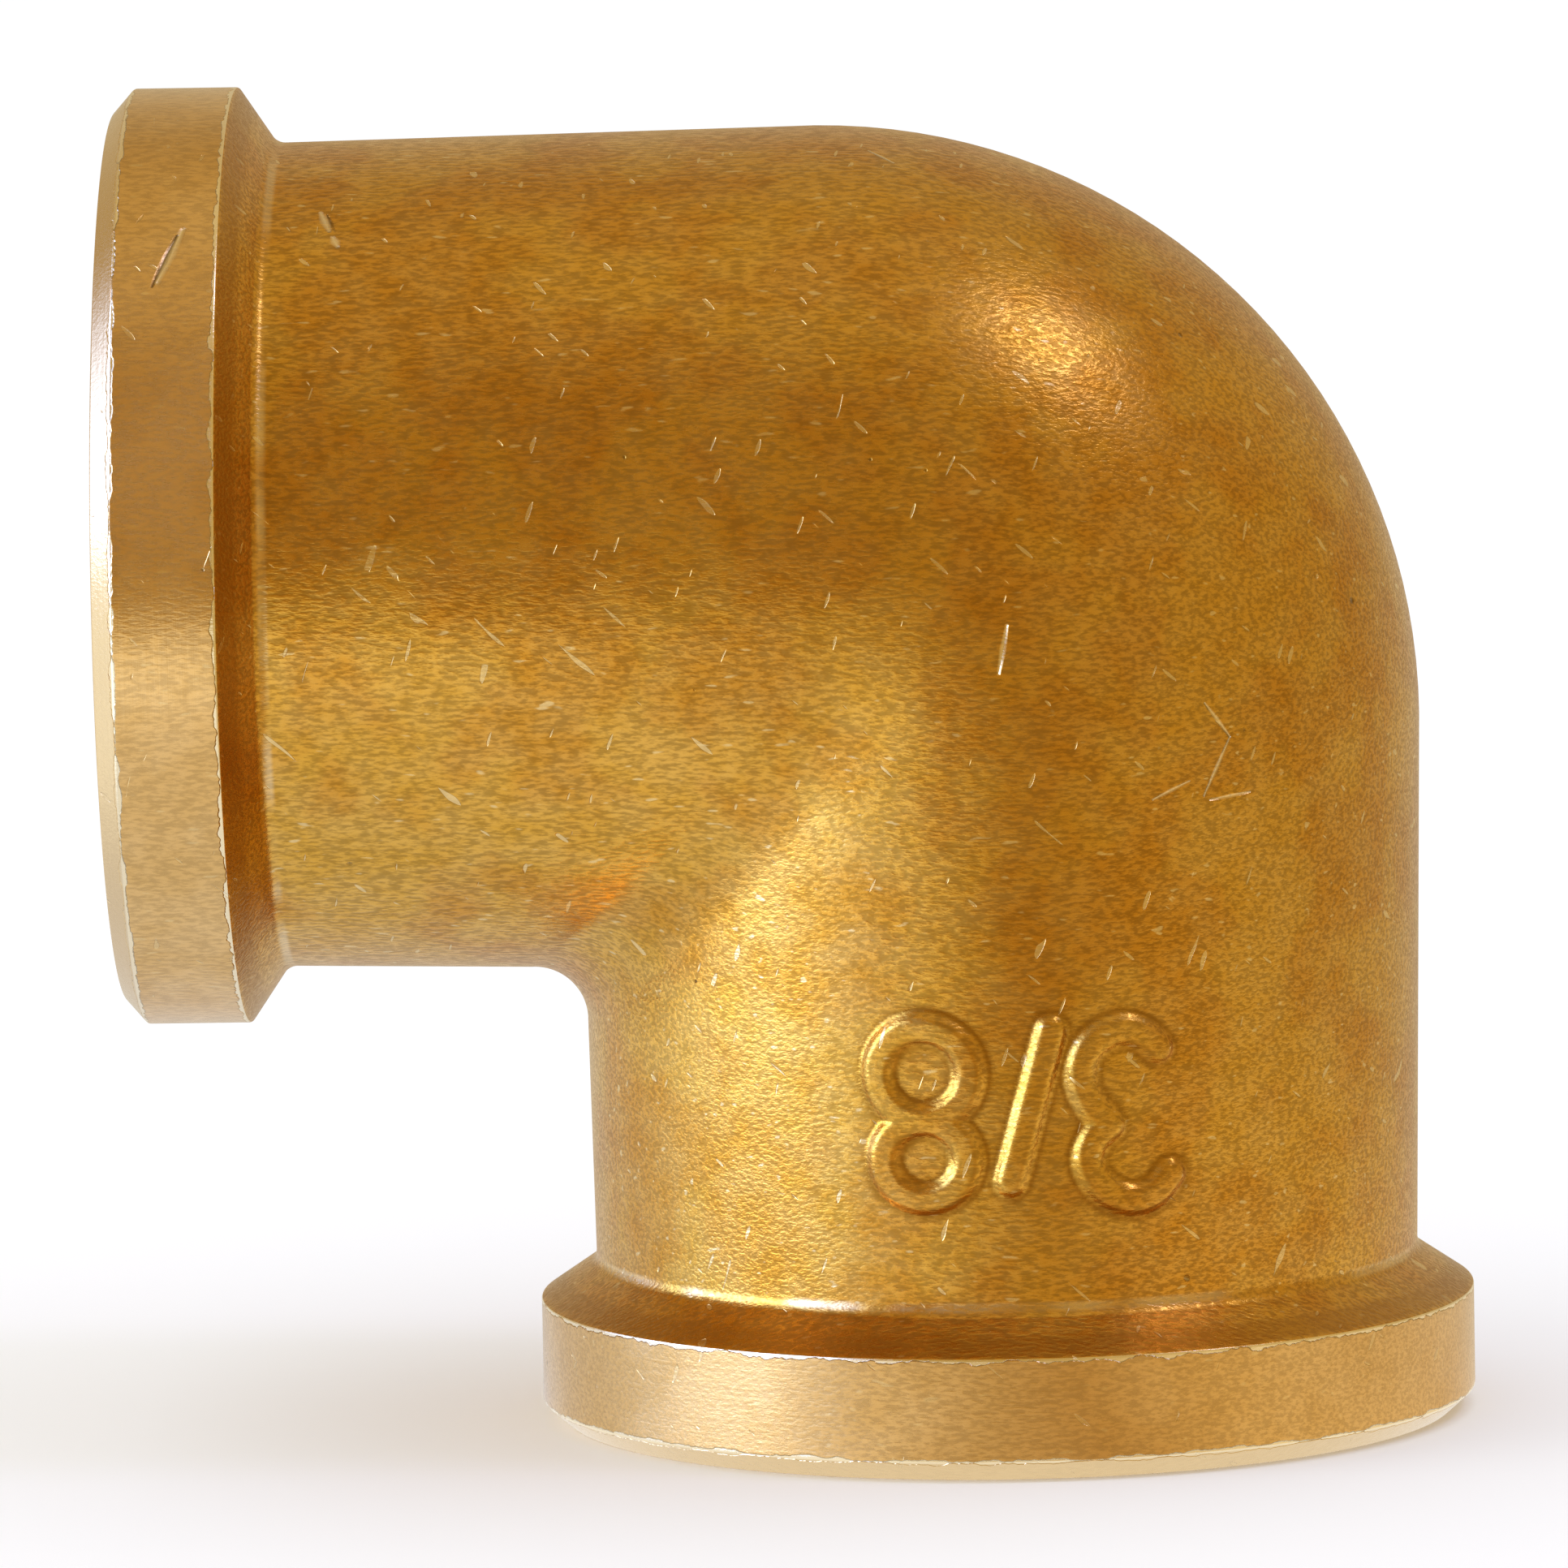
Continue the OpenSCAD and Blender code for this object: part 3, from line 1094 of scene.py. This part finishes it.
@dataclass(frozen=True)
class BrassFinish:
    """One finish of the brass: its colours and how it shines. Depths are in millimetres."""

    name: str
    colour: Colour
    pale: Colour
    deep: Colour
    roughness: float
    rough_spread: float
    grain_height: float
    grain: float
    line_height: float = 0.0
    line_scale: float = 9.0
    line_drift: float = 0.6
    turned: float = 0.0
    # Strength of the nicks with their painted glints, and of the paler chamfer
    nicked: float = 0.0
    cloud_strength: float = 1.5
    fleck_strength: float = 3.0
    mark_strength: float = 0.85
    pit_depth: float = 0.03
    hair_depth: float = 0.01
    nick_depth: float = 0.05
    mark_depth: float = 0.03
    marks: tuple[Mark, ...] = ()

    def material(self, groups: dict[str, bpy.types.NodeTree]) -> bpy.types.Material:
        """Builds the material.

        Args:
            groups: the shared node groups, by name.

        Returns:
            The material.
        """
        made = bpy.data.materials.new(self.name)
        made.use_nodes = True
        made.node_tree.nodes.clear()
        wires = Wiring(made.node_tree)
        shader = wires.node("ShaderNodeBsdfPrincipled", {"Metallic": 1.0, "Anisotropic": self.turned})
        wires.node("ShaderNodeOutputMaterial", {"Surface": shader.outputs[0]})
        place = wires.scaled(wires.node("ShaderNodeTexCoord").outputs["Object"], 1 / MM)
        grain = wires.group(groups["SkinGrain"], Place=place)
        port = wires.group(groups["PortPlace"], Place=place)
        around = {key: port[key] for key in ("Height", "Radius", "Angle")}
        worn_and_lit = wires.group(groups["CollarEdgesAndLight"], **around)
        colour = self.paint(wires, grain, worn_and_lit)
        height = self.relief(wires, grain, worn_and_lit, port)
        # Scratches, some with a line of painted shadow beside them
        for mark in self.marks:
            ends = {"Start": mark.start, "End": mark.end, "Width": mark.width}
            scratch = wires.group(groups["ScratchOrShadowLine"], Place=place, **ends)[0]
            colour = wires.mix(wires.times(scratch, self.mark_strength), colour, mark.colour)
            height = wires.math("SUBTRACT", height, wires.times(scratch, self.mark_depth))
        bump = wires.node("ShaderNodeBump", {"Strength": 1.0, "Distance": MM, "Height": height})
        ends = (self.roughness + self.rough_spread, self.roughness - self.rough_spread)
        rough = wires.span(grain["Streaks"], 0.0, 1.0, *ends)
        if self.turned:
            wires.feed(shader.inputs["Tangent"], self.groove_normal(wires, place))
        wires.feed(shader.inputs["Base Color"], colour)
        wires.feed(shader.inputs["Roughness"], rough)
        wires.feed(shader.inputs["Normal"], bump.outputs[0])
        return made

    def paint(self, wires: Wiring, grain: Sockets, worn_and_lit: Sockets) -> Socket:
        """Mixes the brass's colour, with painted glints, highlight and shade on the collars and round the
        size number.

        Args:
            wires: the material's wiring.
            grain: what the skin's grain gives.
            worn_and_lit: what the worn edges give, with the painted glints and shade on the collars.

        Returns:
            The colour without the marks.
        """
        colour = wires.mix(wires.span(grain["Patches"], 0.1, 0.9), self.deep, self.colour)
        clouds = wires.times(grain["Clouds"], self.cloud_strength * self.grain)
        colour = wires.mix(clouds, colour, self.pale)
        shade = wires.span(grain["Streaks"], 0.0, 1.0, 1.0 - self.grain, 1.0 + self.grain)
        colour = wires.mix(1.0, colour, wires.combine(shade, shade, shade), "MULTIPLY")
        painted_foot_shade = wires.node("ShaderNodeAttribute", attribute_name=FOOT_SHADE_ATTRIBUTE).outputs["Fac"]
        layers = (
            (grain["Flecks"], self.fleck_strength * self.grain, BRIGHT_BRASS),
            (grain["Hairs"], self.fleck_strength * self.grain, BRIGHT_BRASS),
            (grain["Pits"], 0.85, DARK_PIT_AND_SHADOW),
            # Painted shade round the foot of the size number
            (painted_foot_shade, 0.65, PAINTED_FOOT_SHADE_COLOUR),
            # Worn nicks along the collar edges, with painted glints
            (worn_and_lit["Nicks"], self.nicked, CREAM_WEAR_AND_GLINT),
            # Painted shade on the shoulder strip
            (worn_and_lit["Shade"], 0.6, SHOULDER_PAINTED_SHADE),
            # Painted highlight line at the shoulder's foot
            (worn_and_lit["Foot"], 0.4, CREAM_WEAR_AND_GLINT),
            (worn_and_lit["Chamfer"], self.nicked, CUT_CHAMFER),
        )
        for mask, strength, layer in layers:
            colour = wires.mix(wires.times(mask, strength), colour, layer)
        return colour

    def relief(self, wires: Wiring, grain: Sockets, worn_and_lit: Sockets, port: Sockets) -> Socket:
        """Adds up the brass's fine relief.

        Args:
            wires: the material's wiring.
            grain: what the skin's grain gives.
            worn_and_lit: what the worn edges and the painted light on the collars give.
            port: the place from the nearer port.

        Returns:
            The height in millimetres, without the marks.
        """
        across = [wires.times(port[key], self.line_scale) for key in ("Height", "Radius")]
        lines = wires.combine(*across, wires.times(port["Angle"], self.line_drift))
        turning = wires.noise(lines, 1.0, 3.0, 0.7)
        height = wires.times(grain["Streaks"], self.grain_height)
        layers = (
            (grain["Clouds"], self.grain_height),
            (turning, self.line_height),
            (grain["Pits"], -self.pit_depth),
            (grain["Hairs"], -self.hair_depth),
            (wires.times(worn_and_lit["Nicks"], self.nicked), -self.nick_depth),
        )
        for mask, rise in layers:
            height = wires.math("MULTIPLY_ADD", mask, rise, height)
        return height

    @staticmethod
    def groove_normal(wires: Wiring, place: Socket) -> Socket:
        """Finds the direction across the turning grooves, along which highlights spread.

        Args:
            wires: the material's wiring.
            place: the place in millimetres.

        Returns:
            Twice the direction away from the nearer port's axis, plus the axis.
        """
        from_crossing = wires.vector("SUBTRACT", place, (0.0, 0.0, ElbowSizes().centre_to_face))
        parts = wires.split(from_crossing)
        lower = wires.math("LESS_THAN", parts["Z"], parts["X"])
        side = wires.math("SUBTRACT", 1.0, lower)
        across = wires.combine(lower, 1.0, side)
        out = wires.vector("NORMALIZE", wires.vector("MULTIPLY", from_crossing, across))
        return wires.vector("ADD", wires.vector("ADD", out, out), wires.combine(side, 0.0, lower))


PRESSED_SKIN = BrassFinish(
    name="brass_pressed_skin",
    colour=(0.62, 0.335, 0.047),
    pale=(0.69, 0.45, 0.14),
    deep=(0.56, 0.265, 0.031),
    roughness=0.29,
    rough_spread=0.05,
    grain_height=0.005,
    grain=0.22,
    marks=(
        # A scratch as a bright line of bare metal and painted highlight, with a line of painted shadow
        # beside it
        Mark((-15.75, -4.78, 29.69), (-15.52, -5.4, 29.3), 0.15),
        Mark((-15.6, -4.86, 29.65), (-15.38, -5.44, 29.27), 0.07, DARK_PIT_AND_SHADOW),
        Mark((-15.43, -5.62, 29.18), (-15.3, -5.9, 29.0), 0.15),
        Mark((0.51, -9.99, 20.22), (0.3, -10.09, 19.09)),
        Mark((5.11, -8.68, 18.15), (5.69, -8.37, 17.31), 0.07),
        Mark((5.69, -8.37, 17.31), (5.06, -8.75, 15.96), 0.07),
        Mark((3.86, -9.34, 15.96), (4.72, -8.94, 16.34), 0.06),
        Mark((5.19, -8.67, 15.85), (6.14, -8.03, 15.95), 0.06),
        Mark((-2.79, -2.4, 30.76), (-2.19, -3.01, 30.52), 0.08),
    ),
)
TURNED_COLLAR = BrassFinish(
    name="brass_turned_collar",
    colour=(0.73, 0.47, 0.19),
    pale=(0.78, 0.53, 0.25),
    deep=(0.68, 0.42, 0.15),
    roughness=0.25,
    rough_spread=0.03,
    grain_height=0.002,
    grain=0.12,
    line_height=0.004,
    turned=0.65,
    nicked=0.9,
    marks=(
        # A scratch as a bright line of bare metal and painted highlight, with a line of painted shadow
        # beside it
        Mark((-18.86, -7.26, 29.59), (-19.42, -8.43, 28.45), 0.17),
        Mark((-19.0, -7.42, 29.46), (-19.54, -8.5, 28.38), 0.1, DARK_PIT_AND_SHADOW),
    ),
)
CUT_THREAD = BrassFinish(
    name="brass_cut_thread",
    colour=(0.72, 0.46, 0.15),
    pale=(0.75, 0.52, 0.22),
    deep=(0.66, 0.4, 0.1),
    roughness=0.24,
    rough_spread=0.03,
    grain_height=0.0,
    grain=0.1,
    line_height=0.002,
    turned=0.5,
)


# ---------------------------------------------------------------- the studio


@dataclass(frozen=True)
class AreaLamp:
    """A square lamp that looks at the elbow."""

    name: str
    away: Point
    distance: float
    size: float
    power: float
    colour: Colour = (1.0, 1.0, 1.0)

    def build(self, target: Vector) -> bpy.types.Object:
        """Adds the lamp.

        Args:
            target: the point that it looks at.

        Returns:
            The lamp.
        """
        deselect_all()
        bpy.ops.object.light_add(type="AREA")
        lamp = bpy.context.object
        lamp.name = self.name
        lamp.data.shape = "SQUARE"
        lamp.data.size = self.size
        lamp.data.energy = self.power
        lamp.data.color = self.colour
        direction = Vector(self.away).normalized()
        lamp.location = target + direction * self.distance
        lamp.rotation_euler = direction.to_track_quat("Z", "Y").to_euler()
        return lamp


@dataclass(frozen=True)
class Sheen:
    """The floor's sheen at one distance from the object, in metres.

    Its stops are an angle from the camera's side, in degrees and positive to the right,
    and the colour there.
    """

    reach: float
    stops: tuple[tuple[float, Colour], ...]

    def paint(self, ramp: bpy.types.ColorRamp) -> None:
        """Sets a colour ramp to the sheen, once round the object."""
        marks = ramp.elements
        for spare in list(marks)[1:]:
            marks.remove(spare)
        for number, (degrees, colour) in enumerate(self.stops):
            mark = marks[0] if number == 0 else marks.new(degrees / 360 + 0.5)
            mark.position = degrees / 360 + 0.5
            mark.color = (*colour, 1.0)


@dataclass(frozen=True)
class Studio:
    """A pale floor, soft lamps, and the room that the metal reflects."""

    floor_size: float = 8.0
    floor_colour: Colour = (0.97, 0.97, 0.97)
    room_light: float = 1.0
    room_radius: float = 2.0
    room_colour: Colour = (0.48, 0.32, 0.1)
    room_top: Colour = (0.66, 0.52, 0.27)
    room_right: Colour = (0.6, 0.44, 0.18)
    room_back: Colour = (0.6, 0.5, 0.32)
    # How far to the right, the back and the top each of them comes in
    right_reach: Spot = (-0.1, 0.75)
    back_reach: Spot = (0.2, 0.95)
    top_reach: Spot = (0.75, 1.0)
    window: Point = (-0.95, -0.22, 0.22)
    window_spread: Spot = (44.0, 16.0)
    window_colour: Colour = (2.4, 3.3, 6.6)
    # The sheen right below the lower port, and the distances over which it ends
    under: Colour = (1.0, 1.0, 1.0)
    under_edge: Spot = (0.0112, 0.0125)
    # Where a ring of sheen starts to come in, as a share of the way out to it
    ring_start: float = 0.3
    sheen: tuple[Sheen, ...] = (
        Sheen(
            0.028,
            (
                (-180, (0.72, 0.66, 0.5)), (-100, (0.8, 0.82, 0.9)), (-60, (0.85, 0.86, 0.9)),
                (-20, (0.98, 0.94, 0.85)), (-4, (0.72, 0.6, 0.4)), (14, (0.6, 0.42, 0.2)),
                (42, (0.9, 0.74, 0.45)), (100, (0.85, 0.75, 0.6)), (180, (0.72, 0.66, 0.5)),
            ),
        ),
        Sheen(
            0.06,
            (
                (-180, (0.72, 0.68, 0.55)), (-130, (0.88, 0.9, 0.85)), (-105, (1.05, 1.1, 1.15)),
                (-80, (1.35, 1.5, 1.8)), (-50, (1.45, 1.65, 2.1)), (-32, (1.28, 1.32, 1.4)),
                (-17, (1.1, 1.06, 0.9)), (-7, (0.8, 0.68, 0.4)), (6, (0.54, 0.37, 0.11)),
                (40, (0.66, 0.5, 0.2)), (90, (0.66, 0.53, 0.3)), (180, (0.72, 0.68, 0.55)),
            ),
        ),
        Sheen(
            0.16,
            (
                (-180, (0.72, 0.68, 0.55)), (-105, (1.05, 1.1, 1.15)), (-80, (1.45, 1.65, 2.0)),
                (-50, (1.5, 1.7, 2.2)), (-34, (1.1, 1.1, 1.0)), (-20, (0.6, 0.45, 0.2)),
                (-5, (0.5, 0.34, 0.1)), (40, (0.64, 0.48, 0.2)), (90, (0.64, 0.5, 0.25)),
                (180, (0.72, 0.68, 0.55)),
            ),
        ),
    )
    target: Point = (-0.006, 0.0, 0.015)
    lamps: tuple[AreaLamp, ...] = (
        AreaLamp("window_lamp", (-0.93, -0.32, 0.18), 0.8, 0.5, 1.8),
        AreaLamp("bend_lamp", (0.527, -0.108, 0.832), 0.7, 0.13, 0.24, (1.0, 1.0, 1.8)),
    )

    def sheen_colour(self, wires: Wiring, place: Socket, angle: Socket) -> Socket:
        """Paints what the metal reflects of the floor, by the place on the floor.

        Args:
            wires: the floor's wiring.
            place: the place on the floor.
            angle: its angle round the object from the camera's side, in radians.

        Returns:
            The colour.
        """
        share = wires.math("ADD", wires.math("DIVIDE", angle, math.tau), 0.5)
        gap = wires.measure("LENGTH", place)
        colour: Socket | None = None
        reach = 0.0
        for ring in self.sheen:
            ramp = wires.node("ShaderNodeValToRGB")
            wires.feed(ramp.inputs[0], share)
            ring.paint(ramp.color_ramp)
            start = reach + self.ring_start * (ring.reach - reach)
            step = wires.span(gap, start, ring.reach)
            colour = wires.mix(step, colour, ramp.outputs[0]) if colour else ramp.outputs[0]
            reach = ring.reach
        return wires.mix(wires.span(gap, *self.under_edge), self.under, colour)

    def floor(self) -> bpy.types.Object:
        """Adds the floor, level with the lower port face.

        Returns:
            The floor: pale and matt, and in the metal a sheen that is brighter on the
            window's side.
        """
        deselect_all()
        bpy.ops.mesh.primitive_plane_add(size=self.floor_size)
        floor = bpy.context.object
        floor.name = "studio_floor"
        made = bpy.data.materials.new("pale_floor")
        made.use_nodes = True
        tree = made.node_tree
        shader = tree.nodes["Principled BSDF"]
        shader.inputs["Base Color"].default_value = (*self.floor_colour, 1.0)
        shader.inputs["Roughness"].default_value = 0.9
        shader.inputs["Specular IOR Level"].default_value = 0.0
        wires = Wiring(tree)
        place = wires.node("ShaderNodeTexCoord").outputs["Object"]
        parts = wires.split(place)
        angle = wires.math("ARCTAN2", parts["X"], wires.times(parts["Y"], -1.0))
        colour = self.sheen_colour(wires, place, angle)
        glow = wires.node("ShaderNodeEmission", {"Color": colour, "Strength": 1.0})
        seen = wires.node("ShaderNodeLightPath").outputs["Is Glossy Ray"]
        both = wires.node("ShaderNodeMixShader", {0: seen, 1: shader.outputs[0], 2: glow.outputs[0]})
        wires.feed(tree.nodes["Material Output"].inputs["Surface"], both.outputs[0])
        floor.data.materials.append(made)
        return floor

    def room(self) -> bpy.types.Object:
        """Adds the dim, warm room with its window, as the metal reflects it.

        Returns:
            A sphere round the whole scene, which only reflections show.
        """
        deselect_all()
        bpy.ops.mesh.primitive_uv_sphere_add(segments=64, ring_count=32, radius=self.room_radius)
        room = bpy.context.object
        room.name = "studio_room"
        room.visible_camera = False
        room.visible_diffuse = False
        room.visible_shadow = False
        made = bpy.data.materials.new("room_wall")
        made.use_nodes = True
        tree = made.node_tree
        tree.nodes.clear()
        wires = Wiring(tree)
        place = wires.node("ShaderNodeTexCoord").outputs["Object"]
        out = wires.vector("NORMALIZE", place)
        parts = wires.split(out)
        facing = wires.measure("DOT_PRODUCT", out, tuple(Vector(self.window).normalized()))
        wide, narrow = (math.cos(math.radians(angle)) for angle in self.window_spread)
        colour = self.room_colour
        for axis, reach, wall in (
            ("X", self.right_reach, self.room_right),
            ("Y", self.back_reach, self.room_back),
            ("Z", self.top_reach, self.room_top),
        ):
            colour = wires.mix(wires.span(parts[axis], *reach), colour, wall)
        colour = wires.mix(wires.span(facing, wide, narrow), colour, self.window_colour)
        glow = wires.node("ShaderNodeEmission", {"Color": colour, "Strength": 1.0})
        wires.node("ShaderNodeOutputMaterial", {"Surface": glow.outputs[0]})
        room.data.materials.append(made)
        return room

    def world(self) -> None:
        """Makes the background white to the camera and in reflections, and dimmer as light."""
        world = bpy.context.scene.world or bpy.data.worlds.new("studio")
        bpy.context.scene.world = world
        world.use_nodes = True
        tree = world.node_tree
        tree.nodes.clear()
        wires = Wiring(tree)
        path = wires.node("ShaderNodeLightPath").outputs
        seen = wires.math("MAXIMUM", path["Is Camera Ray"], path["Is Glossy Ray"])
        seen = wires.math("MAXIMUM", seen, path["Is Transmission Ray"])
        strength = wires.span(seen, 0.0, 1.0, self.room_light, 1.0)
        sky = wires.node("ShaderNodeBackground", {"Color": (1.0, 1.0, 1.0), "Strength": strength})
        wires.node("ShaderNodeOutputWorld", {"Surface": sky.outputs[0]})

    def build(self) -> None:
        """Sets the whole studio up."""
        self.floor()
        self.room()
        self.world()
        for lamp in self.lamps:
            lamp.build(Vector(self.target))
            LOG.info("lamp %s", lamp.name)


@dataclass(frozen=True)
class Viewpoint:
    """The camera, where the photograph's camera stood."""

    place: Point = (0.011862, -0.446012, 0.072054)
    ahead: Point = (-0.037878, 0.991279, -0.126217)
    up: Point = (0.013683, 0.12681, 0.991833)
    lens: float = 429.095

    def build(self) -> bpy.types.Object:
        """Adds the camera and makes it the scene's own."""
        deselect_all()
        bpy.ops.object.camera_add()
        camera = bpy.context.object
        camera.name = "photo_camera"
        ahead = Vector(self.ahead).normalized()
        right = ahead.cross(Vector(self.up)).normalized()
        up = right.cross(ahead)
        turned = Matrix((right, up, -ahead)).transposed().to_4x4()
        turned.translation = Vector(self.place)
        camera.matrix_world = turned
        camera.data.lens = self.lens
        camera.data.clip_start = 0.01
        bpy.context.scene.camera = camera
        return camera


def main() -> None:
    """Builds the elbow and its studio in order."""
    logging.basicConfig(level=logging.INFO, format="%(name)s: %(message)s")
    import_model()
    sizes = ElbowSizes()
    groups = {group.name: group for group in Effects(sizes).build()}
    finishes = {
        Surface.PRESSED: PRESSED_SKIN.material(groups),
        Surface.TURNED: TURNED_COLLAR.material(groups),
        Surface.CUT: CUT_THREAD.material(groups),
    }
    shell = Elbow(sizes, finishes).build()
    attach(shell, "root")
    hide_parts("elbow_body")
    LOG.info("piece %s: %d faces", shell.name, len(shell.data.polygons))
    Studio().build()
    Viewpoint().build()
    bpy.context.scene.view_settings.view_transform = "Standard"


if __name__ == "__main__":
    main()
